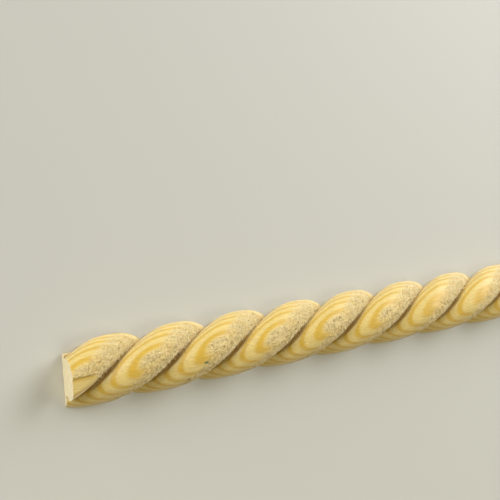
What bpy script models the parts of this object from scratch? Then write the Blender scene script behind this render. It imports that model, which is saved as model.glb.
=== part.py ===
"""Half-round rope moulding in pine: one carved length, with a flat back and a left-hand twist.

Lengths are in metres. The moulding lies on its back on the plane z = 0, along the X axis. The middle
of its length is at x = 0, and the end that shows the saw cut is at -X.
"""

import math

import bpy
import bmesh
from mathutils import Matrix, Vector

# Driving dimensions
MOULDING_LENGTH = 0.1872      # from one square cut to the other
ROPE_RADIUS = 0.0100          # from the rope's axis to the crest of a strand
BACK_SETBACK = 0.00142        # the planed back lies this far in front of the rope's axis
GROOVE_DEPTH = 0.0034         # from the crest of a strand to the groove beside it
STRAND_SPACING = 0.0208       # from groove to groove, measured along the moulding
STRANDS = 3                   # strands round the full rope
STRAND_ROUNDNESS = 2.55       # 2 is a parabola, and more gives a fuller strand
LAY_ANGLE = math.radians(2)   # where the middle of the first strand stands at the -X cut

# The splinter that has split away along the grain, on the first strand at the -X cut
CHIP_DEPTH = 0.0006           # below the crest
CHIP_LENGTH = 0.0068          # from the cut along the grain
CHIP_EDGE = 0.0018            # its upper edge, from the middle of the moulding towards +Y
CHIP_WIDTH = 0.0060           # down from that edge

# The sliver of the next strand that has broken off at the +Y corner of the same cut
SLIVER_LENGTH = 0.0036        # along the back
SLIVER_HEIGHT = 0.0041        # up the cut, from the back

# Faceting of the solid
FACETS_ACROSS_STRAND = 12
STEPS_PER_STRAND = 10
CUTTER_MARGIN = 0.003         # how far a cutter stands out of the wood

PINE_COLOUR = (0.72, 0.54, 0.27, 1.0)
PINE_ROUGHNESS = 0.62

CUT_X = -MOULDING_LENGTH / 2
CREST_HEIGHT = ROPE_RADIUS - BACK_SETBACK


def clear_scene():
    """Removes the objects that the file opens with."""
    for old in list(bpy.data.objects):
        bpy.data.objects.remove(old, do_unlink=True)


def pine():
    """Planed, unfinished pine: pale, and nearly matt."""
    material = bpy.data.materials.new("pine")
    material.use_nodes = True
    shader = material.node_tree.nodes["Principled BSDF"]
    shader.inputs["Base Color"].default_value = PINE_COLOUR
    shader.inputs["Roughness"].default_value = PINE_ROUGHNESS
    shader.inputs["Metallic"].default_value = 0.0
    return material


def strand_radius(across):
    """Distance from the axis, where across runs from -1 to 1 over one strand, groove to groove."""
    return ROPE_RADIUS - GROOVE_DEPTH * abs(across) ** STRAND_ROUNDNESS


def rope_section(bm):
    """One ring of vertices at the -X cut, with a vertex in each groove, joined by edges."""
    facets = STRANDS * FACETS_ACROSS_STRAND
    strand_angle = 2 * math.pi / STRANDS
    ring = []
    for i in range(facets):
        turn = i / FACETS_ACROSS_STRAND
        across = 2 * (turn % 1.0) - 1
        angle = (turn - 0.5) * strand_angle + LAY_ANGLE
        radius = strand_radius(across)
        height = radius * math.cos(angle) - BACK_SETBACK
        ring.append(bm.verts.new((CUT_X, radius * math.sin(angle), height)))
    edges = [bm.edges.new((ring[i], ring[(i + 1) % facets])) for i in range(facets)]
    return ring, edges


def twist_along(bm, ring, edges):
    """Carries the section along the moulding and turns it as it goes, with a left-hand lay."""
    steps = round(MOULDING_LENGTH / STRAND_SPACING * STEPS_PER_STRAND)
    turns = MOULDING_LENGTH / (STRAND_SPACING * STRANDS)
    bmesh.ops.spin(
        bm,
        geom=ring + edges,
        cent=(CUT_X, 0, -BACK_SETBACK),
        axis=(-1, 0, 0),
        dvec=(MOULDING_LENGTH / steps, 0, 0),
        angle=2 * math.pi * turns,
        steps=steps,
    )


def close_ends(bm):
    """Puts a flat face on each open end."""
    bmesh.ops.holes_fill(bm, edges=[edge for edge in bm.edges if edge.is_boundary], sides=0)


def plane_back(bm):
    """Takes off everything behind the back plane and closes the flat that is left."""
    geometry = list(bm.verts) + list(bm.edges) + list(bm.faces)
    bmesh.ops.bisect_plane(
        bm, geom=geometry, plane_co=(0, 0, 0), plane_no=(0, 0, 1), clear_inner=True
    )
    bmesh.ops.holes_fill(bm, edges=[edge for edge in bm.edges if edge.is_boundary], sides=0)


def add_object(name, bm):
    """Turns a bmesh into a named object of the scene."""
    bmesh.ops.recalc_face_normals(bm, faces=list(bm.faces))
    mesh = bpy.data.meshes.new(name)
    bm.to_mesh(mesh)
    bm.free()
    result = bpy.data.objects.new(name, mesh)
    bpy.context.collection.objects.link(result)
    return result


def carved_rope():
    """The half-round rope before the two small breaks."""
    bm = bmesh.new()
    ring, edges = rope_section(bm)
    twist_along(bm, ring, edges)
    close_ends(bm)
    plane_back(bm)
    return add_object("rope_moulding", bm)


def extruded_cutter(name, outline, travel):
    """A closed solid from a flat outline, carried along the vector travel."""
    bm = bmesh.new()
    floor = bm.faces.new([bm.verts.new(point) for point in outline])
    grown = bmesh.ops.extrude_face_region(bm, geom=[floor])
    top = [item for item in grown["geom"] if isinstance(item, bmesh.types.BMVert)]
    bmesh.ops.translate(bm, verts=top, vec=travel)
    return add_object(name, bm)


def chip_cutter():
    """A box that lifts the splinter off: its floor is level, and one side is the upper edge."""
    near = CUT_X - CUTTER_MARGIN
    far = CUT_X + CHIP_LENGTH
    floor = CREST_HEIGHT - CHIP_DEPTH
    low = CHIP_EDGE - CHIP_WIDTH
    outline = [(near, low, floor), (far, low, floor), (far, CHIP_EDGE, floor), (near, CHIP_EDGE, floor)]
    return extruded_cutter("chip_cutter", outline, Vector((0, 0, CHIP_DEPTH + CUTTER_MARGIN)))


def sliver_cutter():
    """A wedge over the corner. It goes as deep as the groove, and ends along the groove."""
    depth_line = ROPE_RADIUS - GROOVE_DEPTH
    slope = SLIVER_LENGTH / SLIVER_HEIGHT
    outline = [
        (CUT_X - CUTTER_MARGIN, depth_line, -CUTTER_MARGIN),
        (CUT_X + SLIVER_LENGTH + slope * CUTTER_MARGIN, depth_line, -CUTTER_MARGIN),
        (CUT_X - CUTTER_MARGIN, depth_line, SLIVER_HEIGHT + CUTTER_MARGIN / slope),
    ]
    return extruded_cutter("sliver_cutter", outline, Vector((0, GROOVE_DEPTH + CUTTER_MARGIN, 0)))


def break_away(wood, cutter):
    """Cuts one break out of the wood. The cutter itself isn't part of the object."""
    cutter.hide_render = True
    cutter.display_type = "WIRE"
    cut = wood.modifiers.new(cutter.name, "BOOLEAN")
    cut.operation = "DIFFERENCE"
    cut.object = cutter
    cut.solver = "EXACT"


def main():
    clear_scene()
    moulding = carved_rope()
    moulding.data.materials.append(pine())
    moulding.data.shade_smooth()
    moulding.data.set_sharp_from_angle(angle=math.radians(40))
    break_away(moulding, chip_cutter())
    break_away(moulding, sliver_cutter())


main()
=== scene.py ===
import math

import bpy
import numpy as np
from bpy.props import FloatProperty, FloatVectorProperty, IntProperty, PointerProperty
from bpy.types import Operator, Panel, PropertyGroup
from mathutils import Matrix, Vector, noise


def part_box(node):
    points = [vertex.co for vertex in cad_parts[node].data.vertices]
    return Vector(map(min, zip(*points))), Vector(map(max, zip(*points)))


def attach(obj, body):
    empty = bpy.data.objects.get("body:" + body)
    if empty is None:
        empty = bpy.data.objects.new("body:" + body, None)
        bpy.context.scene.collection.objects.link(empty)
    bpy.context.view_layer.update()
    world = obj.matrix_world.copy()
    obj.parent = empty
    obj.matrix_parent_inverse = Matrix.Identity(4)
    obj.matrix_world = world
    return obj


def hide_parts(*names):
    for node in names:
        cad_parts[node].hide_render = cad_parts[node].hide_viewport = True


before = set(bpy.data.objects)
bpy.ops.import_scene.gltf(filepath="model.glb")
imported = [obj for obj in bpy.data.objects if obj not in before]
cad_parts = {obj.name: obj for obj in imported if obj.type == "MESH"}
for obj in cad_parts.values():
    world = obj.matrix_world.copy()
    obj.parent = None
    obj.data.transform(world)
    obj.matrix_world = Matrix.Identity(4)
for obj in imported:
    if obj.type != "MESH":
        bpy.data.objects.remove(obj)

bl_info = {
    "name": "Rope moulding",
    "version": (1, 0, 0),
    "blender": (4, 5, 0),
    "location": "3D View > Sidebar > Rope moulding",
    "description": "Models a half-round rope moulding in pine, on a pale floor under soft light",
    "category": "Add Mesh",
}

# The camera stands where the photograph was taken from. Places are in metres.
CAMERA_PLACE = (-0.1692, 0.0882, 0.2454)
CAMERA_TARGET = (-0.0331, 0.0282, 0.0)
CAMERA_ROLL = math.radians(1.66)
CAMERA_LENS = 68.4       # for a sensor 36 wide, both in mm
SENSOR_WIDTH = 36.0
CAMERA_NEAREST = 0.01    # nothing closer to it is drawn
LEFT_PLACE = (-0.90, 0.70, 0.30)
RIGHT_PLACE = (1.00, 0.70, 0.40)
HIGH_PLACE = (0.50, 0.20, 0.45)
FILL_PLACE = (-0.05, -0.45, 0.60)
LARGE_SOFTBOX = (0.90, 0.70)
SMALL_SOFTBOX = (0.45, 0.35)
WHITE = (1.0, 1.0, 1.0)
COOL_WHITE = (1.0, 1.0, 1.06)
WARM_WHITE = (1.0, 0.90, 0.64)
SKY_TINT = (1.0, 0.95, 0.76)
FLOOR_SIZE = 6.0
FLOOR_GAP = 0.00005
FLOOR_ROUGHNESS = 0.5

# How the growth layers lie, in radii of the rope. Most of these were fitted by an optimiser to the
# bands that the photograph shows. The wander keeps the layers from looking drawn by rule.
GRAIN_MIDDLE = -0.0186   # where the layers run level along the moulding
GRAIN_SLOPE = 0.0084
LAYER_BOW = 0.00071
LAYER_BEND = -0.2338
LAYER_LEAN = 0.0614
LAYER_FLATTENING = -0.1757
LAYER_CROWDING = 0.3814
LAYER_FLARE = 0.4561
CREST_BAND = 1.27
RING_STEP = 0.267
RING_WANDER = 0.04
WANDER_STRETCH = (0.4, 1.6, 1.6)
BAND_MIDDLE = 0.5        # where in a ring its amber band lies

# Share of the way through a ring, and how amber the wood is there. It is pale at both ends.
BAND_PROFILE = ((0.20, 0.0), (0.34, 0.5), (0.42, 1.0), (0.62, 1.0), (0.72, 0.4), (0.82, 0.0))

# Where the wood tore. Places across a strand run from -1 to 1, and heights are in degrees from
# straight up towards +Y.
TORN_EDGE = 0.12         # half the width of the soft edge between smooth and torn
TORN_DRIFT = 0.003       # how far that edge moves for each degree above the next height
TORN_DRIFT_FROM = 40
TORN_LEAST = 0.6         # how torn the wood is at that edge, and fully so at the next place
TORN_FULLY = -0.6
CORE_RINGS = (0.68, 0.86)  # inside these rings the wood tore past the edge, up to this far across
CORE_ACROSS = (0.55, 0.35)
TORN_FADE = 0.35         # how much of it is lost between these heights
TORN_FADE_HEIGHTS = (45, 75)
SPLIT_LENGTH = 0.8       # the smooth split face, in splinter lengths
SPLIT_FLARE = 0.6        # how it widens along the moulding
SPLIT_ACROSS = 0.9       # it ends this far across its strand
SMOOTH_BELOW = 0.0002    # the relief grows between these heights over the back
ROUGH_ABOVE = 0.0012
# These also set where shade is painted into each groove, strongest low down.
NOTCH_NEAR_SIDE = -0.78  # where the line in the groove starts, on the torn and on the smooth side
NOTCH_FAR_SIDE = 0.87
NOTCH_FADE = 0.9         # how much of it is lost by the next height
NOTCH_FADE_HEIGHT = 45
END_CALM = 0.25          # share of the relief that is left at a sawn end
LEAST_TORN = 0.01

# How torn flakes are made of noise.
FLAKE_SPREAD = 5         # sets the levels of neighbouring flakes apart
FLAKE_LEVEL = 0.8
FIBRE_LEVEL = 0.9
FIBRE_FINENESS = 1.3
FIBRE_FALL = 0.9         # how fast the finer layers of noise weaken
FIBRE_STEP = 2.1         # how much finer each is than the one before
FIBRE_OCTAVES = 2
CRACK_WIDTH = 0.2        # in flakes

# The two marks in the photographed wood: their places, and half their lengths and widths, in metres.
GREEN_FLECK = (-0.05335, -0.00117, 0.00849)
GREEN_FLECK_SIZE = (0.00105, 0.00055)
RED_FLECK = (-0.05835, -0.00590, 0.00665)
RED_FLECK_SIZE = (0.00055, 0.00055)
FLECK_CORE = 0.4         # the share of its size in which a fleck has its full strength
FLECK_STRENGTH = 0.95

# Sizes of the patterns along X, Y and Z, in metres.
SPECK_SIZES = (0.0008, 0.0003, 0.0003)
SAW_ROW_SIZES = (0.0004, 0.0025, 0.0003)

# How much of each colour is mixed in, and how strong the patterns are.
TORN_MIX = 0.6
# The pit colour is painted shade, laid into the cracks and darker specks between torn fibres.
PIT_SHADE_MIX = 0.33
# The groove colour is painted shade at the bottom of each groove, weaker higher up.
GROOVE_SHADE_MIX = 0.58
END_MIX = 0.75
# The specks set where that shade is painted between torn fibres.
SPECK_CONTRAST = -6.0
SPECK_LEVEL = 3.7
SAW_ROW_CONTRAST = 1.1
SAW_ROW_LEVEL = 0.45
STREAK_CONTRAST = 0.7
STREAK_LEVEL = 0.65
FIBRE_RELIEF = 0.25      # beside the specks on torn wood
SAWN_FACING = 0.95       # a face that looks this much along X is a sawn end
RELIEF_STRENGTH = 0.8
RELIEF_HEIGHT = 0.0005
SMOOTH_ROUGHNESS = 0.5
TORN_ROUGHNESS = 0.25    # added to it where the wood is torn
SHARP_ANGLE = math.radians(50)

# The moulding lies on its back on z = 0, along X, and the end with the visible saw cut is at -X.
LOW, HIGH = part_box("rope_moulding")
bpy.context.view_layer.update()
CUT_X = LOW.x
FAR_X = HIGH.x
MM = 0.001
CUT_REACH = 0.04 * MM    # the back's cut moves corners this close to it onto it, and makes no slivers
ROUNDING = 0.001 * MM    # points this close to a plane lie on it
END_MIDDLE = (-3.0 * MM, 0.27 * MM)  # Y and Z of a point that sees nearly all of an end's rim


def linear_from_hex(code):
    """Turns an sRGB colour such as #E8D9A0 into the linear values that Blender mixes."""
    values = [int(code[i:i + 2], 16) / 255 for i in (1, 3, 5)]
    return [v / 12.92 if v <= 0.04045 else ((v + 0.055) / 1.055) ** 2.4 for v in values]


def length(name, description, millimetres):
    """A length that the user can change, with its default in millimetres."""
    return FloatProperty(name=name, description=description, default=millimetres * MM,
                         min=0.0, unit="LENGTH", subtype="DISTANCE", precision=5)


def turn(name, description, degrees):
    """An angle that the user can change, with its default in degrees."""
    return FloatProperty(name=name, description=description, default=math.radians(degrees),
                         unit="ROTATION", subtype="ANGLE")


def amount(name, description, value):
    """A plain number that the user can change."""
    return FloatProperty(name=name, description=description, default=value)


def count(name, description, value):
    """A whole number that the user can change."""
    return IntProperty(name=name, description=description, default=value, min=1)


def colour(name, description, code):
    """A colour that the user can change, with its default as an sRGB hex value."""
    return FloatVectorProperty(name=name, description=description, size=3,
                               default=linear_from_hex(code), subtype="COLOR", min=0.0, max=1.0)


class RopeShape(PropertyGroup):
    """Sizes of the carved rope. Its length and height are those of the frame's node."""

    strands: count("Strands", "Strands round the full rope", 3)
    spacing: length("Strand spacing", "Groove to groove along the moulding", 20.8)
    back_setback: length("Back setback", "How far the back lies in front of the rope's axis", 1.42)
    groove_depth: length("Groove depth", "From the crest of a strand to its groove", 3.4)
    roundness: amount("Roundness", "2 is a parabola, and more gives a fuller strand", 2.55)
    lay_angle: turn("Lay angle", "Where the first strand's middle stands at the cut", 2.0)
    cells_across: count("Cells across", "Mesh cells from groove to groove", 72)
    cells_per_turn: count("Cells per turn", "Mesh cells along one full turn of the rope", 208)
    cells_across_back: count("Cells across the back", "Mesh cells across the flat back", 5)
    end_rings: count("End rings", "Mesh rings from the rim of a cut end to its middle", 14)


class RopeBreaks(PropertyGroup):
    """The two small breaks at the cut end. The splinter is longer than the solid's, as it shows."""

    chip_depth: length("Chip depth", "Of the split-off splinter, below the crest", 0.6)
    chip_length: length("Chip length", "From the cut along the grain", 9.2)
    chip_edge: length("Chip edge", "Its upper edge, from the moulding's middle line", 1.8)
    chip_width: length("Chip width", "Down from that edge", 6.0)
    sliver_length: length("Sliver length", "Of the lost corner, along the back", 3.6)
    sliver_height: length("Sliver height", "Of the lost corner, up the cut", 4.1)


class TornGrain(PropertyGroup):
    """The rough grain on the side of each strand where the cutter ran against the fibres."""

    depth: length("Depth", "From the highest to the lowest torn flakes", 0.45)
    flake_length: length("Flake length", "Of a torn flake along the grain", 1.15)
    flake_width: length("Flake width", "Of a torn flake across the grain", 0.5)
    flake_thickness: length("Flake thickness", "Of a torn flake through the growth layers", 0.35)
    crack_depth: length("Crack depth", "Of the gaps between flakes", 0.2)
    highest: length("Highest", "How far a torn flake may stand above the cut", 0.12)
    ripple: length("Ripple", "Unevenness of the cut on the smooth wood", 0.06)
    ripple_length: length("Ripple length", "From one such rise to the next", 4.5)
    notch_depth: length("Notch depth", "Of the sharp line that the cutter left in each groove", 0.7)
    seed: count("Seed", "Picks another pattern of torn fibres", 7)


class PineLook(PropertyGroup):
    """Colours and growth rings of the wood, and the shade painted into its pits and grooves."""

    earlywood: colour("Earlywood", "The pale wood of spring", "#D3B966")
    latewood: colour("Latewood", "The amber band that closes each year", "#C69F1E")
    torn: colour("Torn wood", "The dull tan of torn fibres", "#EED998")
    # Painted shade: this brown darkens the cracks and specks between torn fibres, where shade falls.
    pit_shade: colour("Pits", "The shaded brown between torn fibres", "#8C6A22")
    # Painted shade: this brown darkens the bottom of each groove, where shade falls, less higher up.
    groove: colour("Grooves", "The warm brown at the bottom of the grooves", "#96702A")
    end_grain: colour("End grain", "The cream of the sawn end", "#F8E8B6")
    green_fleck: colour("Green fleck", "A dark olive speck", "#475C04")
    red_fleck: colour("Red fleck", "A short brown speck", "#83602F")
    ring_tilt: turn("Ring tilt", "Of the growth layers against the flat back", 16.1)
    fibre_length: length("Fibre length", "Of the streaks along the grain", 5.0)
    fibre_width: length("Fibre width", "Of those streaks", 0.35)


class StudioLook(PropertyGroup):
    """The floor, the lights and the camera."""

    floor: colour("Floor", "Pale warm grey", "#CACAC1")
    left_watts: amount("Left light", "Watts of the large soft light on the cut end's side", 13.5)
    right_watts: amount("Right light", "Watts of the large soft light on the far end's side", 15.1)
    high_watts: amount("High light", "Watts of the small soft light above the far end", 1.75)
    fill_watts: amount("Fill light", "Watts of the small soft light opposite the others", 1.8)
    sky: amount("Sky", "Strength of the even light from all round", 0.12)


def deselect_all():
    """Leaves nothing selected and no object in edit mode."""
    if bpy.context.object and bpy.context.object.mode != "OBJECT":
        bpy.ops.object.mode_set(mode="OBJECT")
    bpy.ops.object.select_all(action="DESELECT")


def pick_vertices(piece, chosen):
    """Goes into edit mode with only the vertices that the array of flags names selected."""
    bpy.ops.object.mode_set(mode="OBJECT")
    mesh = piece.data
    mesh.edges.foreach_set("select", np.zeros(len(mesh.edges), dtype=bool))
    mesh.polygons.foreach_set("select", np.zeros(len(mesh.polygons), dtype=bool))
    mesh.vertices.foreach_set("select", np.asarray(chosen, dtype=bool))
    bpy.context.tool_settings.mesh_select_mode = (True, False, False)
    bpy.ops.object.mode_set(mode="EDIT")


def points_of(piece):
    """The vertices' places as an array of rows."""
    places = np.empty(len(piece.data.vertices) * 3, dtype=np.float32)
    piece.data.vertices.foreach_get("co", places)
    return places.reshape(-1, 3).astype(float)


def set_points(piece, places):
    """Puts the vertices at the places in the array."""
    piece.data.vertices.foreach_set("co", places.astype(np.float32).ravel())
    piece.data.update()


def smooth_step(low, high, value):
    """0 below low, 1 above high and a smooth rise between, also where low is the larger."""
    share = np.clip((value - low) / (high - low), 0.0, 1.0)
    return share * share * (3 - 2 * share)


class RopeGeometry:
    """Where a point of the rope lies, by strand and by angle, from the sizes."""

    def __init__(self, shape):
        self.shape = shape
        self.radius = HIGH.z + shape.back_setback
        self.strand_angle = 2 * math.pi / shape.strands
        self.lead = shape.spacing * shape.strands

    def angle(self, places):
        """Angle round the axis, from straight up towards +Y."""
        return np.arctan2(places[:, 1], places[:, 2] + self.shape.back_setback)

    def across(self, places):
        """-1 to 1 over one strand, from its groove on the -Y side to the one on the +Y side."""
        travelled = 2 * math.pi * (places[:, 0] - CUT_X) / self.lead
        turned = (self.angle(places) - travelled - self.shape.lay_angle) / self.strand_angle
        return 2 * (turned - np.floor(turned + 0.5))


def draw_section(shape, rope):
    """A circle across the rope, its grooves sunk in by scaling like vertices together."""
    centre = (CUT_X, 0.0, -shape.back_setback)
    around = shape.strands * shape.cells_across
    bpy.ops.mesh.primitive_circle_add(vertices=around, radius=rope.radius, location=centre,
                                      rotation=(0.0, math.pi / 2, 0.0))
    section = bpy.context.object
    bpy.ops.object.transform_apply(location=False, rotation=True, scale=False)
    places = points_of(section)
    turned = np.arctan2(places[:, 1], places[:, 2]) / rope.strand_angle
    across = np.abs(2 * (turned - np.floor(turned + 0.5)))
    steps = np.rint(across * shape.cells_across / 2).astype(int)
    for step in range(1, shape.cells_across // 2 + 1):
        sunk = shape.groove_depth * (2 * step / shape.cells_across) ** shape.roundness
        scale = 1 - sunk / rope.radius
        pick_vertices(section, steps == step)
        bpy.ops.transform.resize(value=(1.0, scale, scale), center_override=centre)
    bpy.ops.object.mode_set(mode="OBJECT")
    return section


def twist_section(section, shape, rope):
    """Screws the section along the moulding with a left-hand lay, and turns it to its start."""
    turns = (FAR_X - CUT_X) / rope.lead
    screw = section.modifiers.new("lay", "SCREW")
    screw.axis = "X"
    screw.angle = -2 * math.pi * turns
    screw.screw_offset = FAR_X - CUT_X
    screw.steps = screw.render_steps = round(shape.cells_per_turn * turns)
    screw.use_merge_vertices = False
    bpy.ops.object.modifier_apply(modifier=screw.name)
    section.rotation_euler.x = -shape.lay_angle
    bpy.ops.object.transform_apply(location=True, rotation=True, scale=True)


def plane_back(piece, shape):
    """Cuts the rope off at the back plane, and closes the flat with rows of even faces."""
    bpy.ops.object.mode_set(mode="EDIT")
    bpy.ops.mesh.select_all(action="SELECT")
    bpy.ops.mesh.bisect(plane_co=(0, 0, 0), plane_no=(0, 0, 1), clear_inner=True,
                        threshold=CUT_REACH)
    bpy.ops.transform.resize(value=(1.0, 1.0, 0.0), center_override=(0, 0, 0))
    bpy.ops.mesh.bridge_edge_loops(number_cuts=shape.cells_across_back, interpolation="LINEAR")
    bpy.ops.object.mode_set(mode="OBJECT")


def close_end(piece, shape, end):
    """Fills one sawn end with rings of faces that shrink to its middle."""
    middle = (end, *END_MIDDLE)
    pick_vertices(piece, np.abs(points_of(piece)[:, 0] - end) < ROUNDING)
    bpy.context.tool_settings.mesh_select_mode = (False, True, False)
    for ring in range(shape.end_rings, 1, -1):
        bpy.ops.mesh.extrude_edges_move()
        scale = (ring - 1) / ring
        bpy.ops.transform.resize(value=(1.0, scale, scale), center_override=middle)
    bpy.ops.mesh.extrude_edges_move()
    bpy.ops.mesh.merge(type="CENTER")
    bpy.ops.object.mode_set(mode="OBJECT")


def carve_rope(shape):
    """The clean half-round rope, before it is broken and torn."""
    rope = RopeGeometry(shape)
    deselect_all()
    piece = draw_section(shape, rope)
    twist_section(piece, shape, rope)
    plane_back(piece, shape)
    return piece, rope


def break_end(piece, shape, breaks, rope):
    """Takes the splinter and the sliver off the cut end, before that end is closed."""
    places = points_of(piece)
    x = places[:, 0] - CUT_X
    y = places[:, 1]
    z = places[:, 2]
    floor = HIGH.z - breaks.chip_depth
    chipped = (x < breaks.chip_length) & (y < breaks.chip_edge)
    chipped &= (y > breaks.chip_edge - breaks.chip_width) & (z > floor)
    places[chipped, 2] = floor
    groove_line = rope.radius - shape.groove_depth
    wedge = x / breaks.sliver_length + z / breaks.sliver_height < 1
    lost = wedge & (y > groove_line)
    places[lost, 1] = groove_line
    set_points(piece, places)


def outward(piece):
    """The vertices' normals as an array of rows."""
    normals = np.empty(len(piece.data.vertices) * 3, dtype=np.float32)
    piece.data.vertex_normals.foreach_get("vector", normals)
    return normals.reshape(-1, 3).astype(float)


def growth_rings(places, shape, rope, look):
    """Which growth ring each point lies in, from the heart outwards. The layers are tilted against
    the back, curve gently, and lie closer together towards the bark.
    """
    x = (places[:, 0] - GRAIN_MIDDLE) / rope.radius
    y = places[:, 1] / rope.radius - GRAIN_SLOPE * x
    z = (places[:, 2] + shape.back_setback) / rope.radius - LAYER_BOW * x * x
    through = y * math.sin(look.ring_tilt) + z * math.cos(look.ring_tilt)
    along = z * math.sin(look.ring_tilt) - y * math.cos(look.ring_tilt)
    squared = along * along
    bend = LAYER_BEND + LAYER_LEAN * along + LAYER_FLATTENING * squared
    outwards = through * (1 + LAYER_CROWDING * through + LAYER_FLARE * squared) + squared * bend
    stretched = np.stack((x, y, z), axis=1) * WANDER_STRETCH
    wander = np.array([noise.noise(Vector(place), noise_basis="PERLIN_NEW") for place in stretched])
    return (outwards + RING_WANDER * wander - CREST_BAND) / RING_STEP + BAND_MIDDLE


def torn_share(places, rings, rope, breaks):
    """1 where the wood tore: on one side of each strand, inside its innermost ring, and nowhere on
    the split face of the splinter. 0 where the cutter ran clean.
    """
    across = rope.across(places)
    height = np.degrees(rope.angle(places))
    drift = TORN_DRIFT * np.maximum(height - TORN_DRIFT_FROM, 0)
    side = smooth_step(TORN_EDGE, -TORN_EDGE, across + drift)
    side *= TORN_LEAST + (1 - TORN_LEAST) * smooth_step(0.0, TORN_FULLY, across)
    core = smooth_step(*CORE_RINGS, rings) * smooth_step(*CORE_ACROSS, across)
    faded = 1 - TORN_FADE * smooth_step(*TORN_FADE_HEIGHTS, height)
    x = places[:, 0] - CUT_X
    y = places[:, 1]
    split = (x < breaks.chip_length * SPLIT_LENGTH) & (y < breaks.chip_edge) & (across < SPLIT_ACROSS)
    split &= y > breaks.chip_edge - breaks.chip_width - x * SPLIT_FLARE
    return np.maximum(side, core) * faded * ~split


def flake_relief(place, grain):
    """Height of the torn flakes at a place, about -1 to 1, and the share of a gap between two."""
    scaled = Vector((place.x / grain.flake_length, place.y / grain.flake_width,
                     place.z / grain.flake_thickness))
    away, middles = noise.voronoi(scaled)
    spot = middles[0] * FLAKE_SPREAD + Vector((grain.seed, 0.0, 0.0))
    level = noise.noise(spot, noise_basis="PERLIN_NEW")
    fine = noise.fractal(scaled * FIBRE_FINENESS, FIBRE_FALL, FIBRE_STEP, FIBRE_OCTAVES,
                         noise_basis="PERLIN_NEW")
    crack = max(0.0, 1 - (away[1] - away[0]) / CRACK_WIDTH)
    return FLAKE_LEVEL * level + FIBRE_LEVEL * fine, crack


def keep_values(piece, name, values):
    """Stores one number for each vertex, for the material to read."""
    layer = piece.data.attributes.new(name, "FLOAT", "POINT")
    layer.data.foreach_set("value", values.astype(np.float32))


def tear_grain(piece, rope, settings):
    """Raises and pits the torn side of each strand, sharpens the grooves, and keeps for each vertex
    how torn it is, and its shares of a crack and of a groove.
    """
    shape, breaks, grain, look = settings
    places = points_of(piece)
    normals = outward(piece)
    from_end = np.minimum(np.abs(places[:, 0] - CUT_X), np.abs(places[:, 0] - FAR_X))
    side = smooth_step(SMOOTH_BELOW, ROUGH_ABOVE, places[:, 2])
    torn = torn_share(places, growth_rings(places, shape, rope, look), rope, breaks) * side
    tilt = Matrix.Rotation(look.ring_tilt, 3, "X")
    across = rope.across(places)
    smooth_flank = smooth_step(NOTCH_FAR_SIDE, 1.0, across)
    torn_flank = smooth_step(NOTCH_NEAR_SIDE, -1.0, across)
    notch = np.maximum(smooth_flank, torn_flank) * side
    notch *= 1 - NOTCH_FADE * smooth_step(0, NOTCH_FADE_HEIGHT, np.degrees(rope.angle(places)))
    height = -grain.notch_depth * notch
    calm = END_CALM + (1 - END_CALM) * smooth_step(0.0, grain.flake_length, from_end)
    cracks = np.zeros(len(places))
    for i in np.flatnonzero(side):
        place = Vector(places[i])
        wave = noise.noise(place / grain.ripple_length, noise_basis="PERLIN_NEW")
        height[i] += grain.ripple * wave * side[i]
        if torn[i] > LEAST_TORN:
            flake, crack = flake_relief(tilt @ place, grain)
            cracks[i] = crack * torn[i]
            relief = grain.depth * flake * torn[i] - grain.crack_depth * cracks[i]
            height[i] += relief * calm[i]
    height = np.minimum(height, grain.highest)
    normals[from_end < ROUNDING, 0] = 0.0
    inner = from_end > ROUNDING
    places += normals * height[:, None]
    places[inner, 0] = np.clip(places[inner, 0], CUT_X + CUT_REACH, FAR_X - CUT_REACH)
    set_points(piece, places)
    keep_values(piece, "torn", torn)
    # The material paints shade into the cracks and grooves by these shares.
    keep_values(piece, "cracks", cracks)
    keep_values(piece, "groove", notch)


def turn_outwards(piece, middle):
    """Turns all faces away from a point inside, also while the ends are open."""
    pick_vertices(piece, np.ones(len(piece.data.vertices), dtype=bool))
    bpy.ops.mesh.normals_make_consistent(inside=False)
    bpy.ops.object.mode_set(mode="OBJECT")
    if np.mean(np.sum(outward(piece) * (points_of(piece) - middle), axis=1)) < 0:
        bpy.ops.object.mode_set(mode="EDIT")
        bpy.ops.mesh.flip_normals()
        bpy.ops.object.mode_set(mode="OBJECT")


def add_node(tree, kind, sockets=None, **settings):
    """Adds a node, sets its properties, and sets or links its input sockets."""
    node = tree.nodes.new(kind)
    for name, value in settings.items():
        setattr(node, name, value)
    for name, value in (sockets or {}).items():
        if isinstance(value, bpy.types.NodeSocket):
            tree.links.new(value, node.inputs[name])
        else:
            node.inputs[name].default_value = value
    return node


def arithmetic(tree, operation, *values):
    """Adds one math node on numbers or sockets, and gives its output."""
    return add_node(tree, "ShaderNodeMath", dict(enumerate(values)), operation=operation).outputs[0]


def vectors(tree, operation, sockets):
    """Adds one vector math node, and gives its outputs."""
    return add_node(tree, "ShaderNodeVectorMath", sockets, operation=operation).outputs


def mixed(tree, share, first, second):
    """Mixes two colours, each a socket or linear values, and gives the result."""
    colours = [c if isinstance(c, bpy.types.NodeSocket) else (*c, 1) for c in (first, second)]
    sockets = {"Factor": share, 6: colours[0], 7: colours[1]}
    return add_node(tree, "ShaderNodeMix", sockets, data_type="RGBA").outputs[2]


def band_share(tree, rings):
    """1 in the middle of the amber band of each ring, and 0 in its pale wood."""
    share = arithmetic(tree, "FRACT", rings)
    ramp = add_node(tree, "ShaderNodeValToRGB", {"Fac": share})
    bands = ramp.color_ramp
    bands.interpolation = "EASE"
    bands.elements[1].color = (0, 0, 0, 1)
    for position, level in BAND_PROFILE:
        bands.elements.new(position).color = (level, level, level, 1)
    return ramp.outputs["Color"]


def attribute(tree, name):
    """The value that the mesh keeps for each vertex under this name."""
    return add_node(tree, "ShaderNodeAttribute", attribute_name=name).outputs["Fac"]


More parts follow.
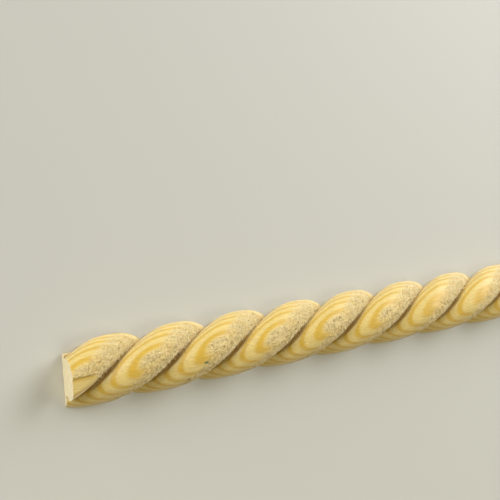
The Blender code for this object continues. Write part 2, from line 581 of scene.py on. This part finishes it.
def fleck(tree, place, middle, size, wood, tone):
    """Darkens the wood round one place to a fleck's colour. The size is half its length along the
    grain and half its width.
    """
    half_length, half_width = size
    shares = (1 / half_length, 1 / half_width, 1 / half_width)
    away = vectors(tree, "SUBTRACT", {0: place, 1: middle})[0]
    away = vectors(tree, "MULTIPLY", {0: away, 1: shares})[0]
    distance = vectors(tree, "LENGTH", {0: away})["Value"]
    share = add_node(tree, "ShaderNodeMapRange", {
        "Value": distance, "From Min": 1.0, "From Max": FLECK_CORE, "To Max": FLECK_STRENGTH}).outputs[0]
    return mixed(tree, share, wood, tone)


def streaks(tree, place, *sizes):
    """Streaks of these sizes along X, Y and Z, 0 to 1."""
    stretched = add_node(tree, "ShaderNodeMapping", {
        "Vector": place, "Scale": [1 / size for size in sizes]}).outputs[0]
    return add_node(tree, "ShaderNodeTexNoise", {
        "Vector": stretched, "Scale": 1.0, "Detail": 3.0, "Roughness": 0.6}).outputs["Fac"]


def planed_pine(look):
    """Unfinished pine, carved: pale earlywood and amber latewood in sharp growth rings, satin where
    the cutter ran clean, dull and greyer where it tore the fibres, and cream on the sawn end.
    Painted shade darkens the grooves and the cracks and specks between torn fibres. A real fibre is some
    0.03 mm wide, too fine to show, so the streaks along the grain and the specks between torn fibres are
    drawn about ten times as coarse.
    """
    material = bpy.data.materials.new("carved_pine")
    material.use_nodes = True
    tree = material.node_tree
    shader = tree.nodes["Principled BSDF"]
    coordinates = add_node(tree, "ShaderNodeTexCoord").outputs
    place = coordinates["Object"]
    facing = add_node(tree, "ShaderNodeSeparateXYZ", {0: coordinates["Normal"]}).outputs[0]
    sawn = arithmetic(tree, "GREATER_THAN", arithmetic(tree, "ABSOLUTE", facing), SAWN_FACING)
    carved = arithmetic(tree, "SUBTRACT", 1.0, sawn)
    torn = arithmetic(tree, "MULTIPLY", attribute(tree, "torn"), carved)
    cracks = arithmetic(tree, "MULTIPLY", attribute(tree, "cracks"), carved)
    groove = arithmetic(tree, "MULTIPLY", attribute(tree, "groove"), carved)
    fibres = streaks(tree, place, look.fibre_length, look.fibre_width, look.fibre_width)
    specks = streaks(tree, place, *SPECK_SIZES)
    wood = mixed(tree, band_share(tree, attribute(tree, "rings")), look.earlywood, look.latewood)
    wood = mixed(tree, arithmetic(tree, "MULTIPLY", torn, TORN_MIX), wood, look.torn)
    # Painted shade: the darker specks and the cracks between torn flakes are mixed towards the pit
    # colour.
    shaded = arithmetic(tree, "MULTIPLY_ADD", specks, SPECK_CONTRAST, SPECK_LEVEL)
    shaded = arithmetic(tree, "MULTIPLY", torn, shaded)
    dark = add_node(tree, "ShaderNodeMath", {0: shaded, 1: cracks},
                    operation="MAXIMUM", use_clamp=True).outputs[0]
    wood = mixed(tree, arithmetic(tree, "MULTIPLY", dark, PIT_SHADE_MIX), wood, look.pit_shade)
    # Painted shade at the bottom of each groove, weaker higher up where more light reaches in.
    wood = mixed(tree, arithmetic(tree, "MULTIPLY", groove, GROOVE_SHADE_MIX), wood, look.groove)
    wood = fleck(tree, place, GREEN_FLECK, GREEN_FLECK_SIZE, wood, look.green_fleck)
    wood = fleck(tree, place, RED_FLECK, RED_FLECK_SIZE, wood, look.red_fleck)
    rows = streaks(tree, place, *SAW_ROW_SIZES)
    rows = arithmetic(tree, "MULTIPLY_ADD", rows, SAW_ROW_CONTRAST, SAW_ROW_LEVEL)
    cream = vectors(tree, "SCALE", {0: tuple(look.end_grain), 3: rows})[0]
    wood = mixed(tree, arithmetic(tree, "MULTIPLY", sawn, END_MIX), wood, cream)
    tint = arithmetic(tree, "MULTIPLY_ADD", fibres, STREAK_CONTRAST, STREAK_LEVEL)
    wood = vectors(tree, "SCALE", {0: wood, 3: tint})[0]
    tree.links.new(wood, shader.inputs["Base Color"])
    faint = arithmetic(tree, "MULTIPLY", fibres, FIBRE_RELIEF)
    grain = arithmetic(tree, "MULTIPLY_ADD", specks, torn, faint)
    bump = add_node(tree, "ShaderNodeBump", {
        "Height": grain, "Strength": RELIEF_STRENGTH, "Distance": RELIEF_HEIGHT})
    tree.links.new(bump.outputs[0], shader.inputs["Normal"])
    dullness = arithmetic(tree, "MULTIPLY_ADD", torn, TORN_ROUGHNESS, SMOOTH_ROUGHNESS)
    tree.links.new(dullness, shader.inputs["Roughness"])
    shader.inputs["Specular IOR Level"].default_value = 0.85
    shader.inputs["Sheen Weight"].default_value = 0.4
    shader.inputs["Sheen Roughness"].default_value = 0.5
    return material


def lay_floor(look):
    """A plain pale floor, level with the moulding's back."""
    deselect_all()
    bpy.ops.mesh.primitive_plane_add(size=FLOOR_SIZE, location=(0.0, 0.0, -FLOOR_GAP))
    floor = bpy.context.object
    floor.name = "floor"
    bpy.ops.object.transform_apply(location=True, rotation=True, scale=True)
    paper = bpy.data.materials.new("matt_paper")
    paper.use_nodes = True
    shader = paper.node_tree.nodes["Principled BSDF"]
    shader.inputs["Base Color"].default_value = (*look.floor, 1)
    shader.inputs["Roughness"].default_value = FLOOR_ROUGHNESS
    floor.data.materials.append(paper)


def add_soft_light(name, place, size, watts, tint):
    """A rectangular soft light that faces the moulding's middle."""
    bpy.ops.object.light_add(type="AREA", location=place)
    light = bpy.context.object
    light.name = name
    light.data.shape = "RECTANGLE"
    light.data.size, light.data.size_y = size
    light.data.energy = watts
    light.data.color = tint
    light.rotation_euler = (-Vector(place)).to_track_quat("-Z", "Y").to_euler()


def light_studio(look):
    """Two large low soft lights beyond the moulding's +Y side, two small ones and a faint sky."""
    add_soft_light("left_softbox", LEFT_PLACE, LARGE_SOFTBOX, look.left_watts, COOL_WHITE)
    add_soft_light("right_softbox", RIGHT_PLACE, LARGE_SOFTBOX, look.right_watts, COOL_WHITE)
    add_soft_light("high_softbox", HIGH_PLACE, SMALL_SOFTBOX, look.high_watts, WHITE)
    add_soft_light("fill_softbox", FILL_PLACE, SMALL_SOFTBOX, look.fill_watts, WARM_WHITE)
    world = bpy.data.worlds.new("even_sky")
    world.use_nodes = True
    sky = world.node_tree.nodes["Background"]
    sky.inputs["Color"].default_value = (*SKY_TINT, 1)
    sky.inputs["Strength"].default_value = look.sky
    scene = bpy.context.scene
    scene.world = world
    scene.view_settings.view_transform = "Standard"


def place_camera():
    """Looks down on the moulding from beyond its cut end, as the photograph does."""
    place = Vector(CAMERA_PLACE)
    ahead = (Vector(CAMERA_TARGET) - place).normalized()
    side = ahead.cross(Vector((0, 1, 0))).normalized()
    up = side.cross(ahead)
    facing = Matrix((side, up, -ahead)).transposed().to_4x4()
    bpy.ops.object.camera_add(location=place)
    camera = bpy.context.object
    rolled = Matrix.Rotation(CAMERA_ROLL, 4, ahead) @ facing
    camera.matrix_world = Matrix.Translation(place) @ rolled
    camera.data.sensor_width = SENSOR_WIDTH
    camera.data.lens = CAMERA_LENS
    camera.data.clip_start = CAMERA_NEAREST
    bpy.context.scene.camera = camera


class ROPE_OT_carve(Operator):
    """Carves the rope moulding, with its breaks and torn grain"""

    bl_idname = "object.carve_rope_moulding"
    bl_label = "Carve rope moulding"

    def execute(self, context):
        scene = context.scene
        shape = scene.rope_shape
        piece, rope = carve_rope(shape)
        break_end(piece, shape, scene.rope_breaks, rope)
        turn_outwards(piece, (LOW + HIGH) / 2)
        tear_grain(piece, rope, (shape, scene.rope_breaks, scene.rope_grain, scene.rope_pine))
        close_end(piece, shape, CUT_X)
        close_end(piece, shape, FAR_X)
        turn_outwards(piece, (LOW + HIGH) / 2)
        bpy.ops.object.shade_smooth_by_angle(angle=SHARP_ANGLE)
        keep_values(piece, "rings", growth_rings(points_of(piece), shape, rope, scene.rope_pine))
        piece.data.materials.append(planed_pine(scene.rope_pine))
        piece.name = "rope_moulding_dressed"
        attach(piece, "root")
        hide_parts("rope_moulding")
        return {"FINISHED"}


class ROPE_OT_stage(Operator):
    """Lays the floor and sets up the light and the camera"""

    bl_idname = "object.stage_rope_moulding"
    bl_label = "Set up the stage"

    def execute(self, context):
        look = context.scene.rope_studio
        lay_floor(look)
        light_studio(look)
        place_camera()
        return {"FINISHED"}


class ROPE_PT_panel(Panel):
    """Lists the steps in the sidebar of the 3D view"""

    bl_idname = "ROPE_PT_panel"
    bl_label = "Rope moulding"
    bl_space_type = "VIEW_3D"
    bl_region_type = "UI"
    bl_category = "Rope moulding"

    def draw(self, context):
        layout = self.layout
        for operator in (ROPE_OT_carve, ROPE_OT_stage):
            layout.operator(operator.bl_idname)
        for group in PROPERTY_GROUPS:
            box = layout.box()
            box.label(text=group)
            settings = getattr(context.scene, group)
            for name in settings.__annotations__:
                box.prop(settings, name)


PROPERTY_GROUPS = {
    "rope_shape": RopeShape,
    "rope_breaks": RopeBreaks,
    "rope_grain": TornGrain,
    "rope_pine": PineLook,
    "rope_studio": StudioLook,
}
CLASSES = (*PROPERTY_GROUPS.values(), ROPE_OT_carve, ROPE_OT_stage, ROPE_PT_panel)


def register():
    for kind in CLASSES:
        bpy.utils.register_class(kind)
    for name, kind in PROPERTY_GROUPS.items():
        setattr(bpy.types.Scene, name, PointerProperty(type=kind))


def unregister():
    for name in PROPERTY_GROUPS:
        delattr(bpy.types.Scene, name)
    for kind in reversed(CLASSES):
        bpy.utils.unregister_class(kind)


def main():
    register()
    bpy.ops.object.carve_rope_moulding()
    bpy.ops.object.stage_rope_moulding()


if __name__ == "__main__":
    main()
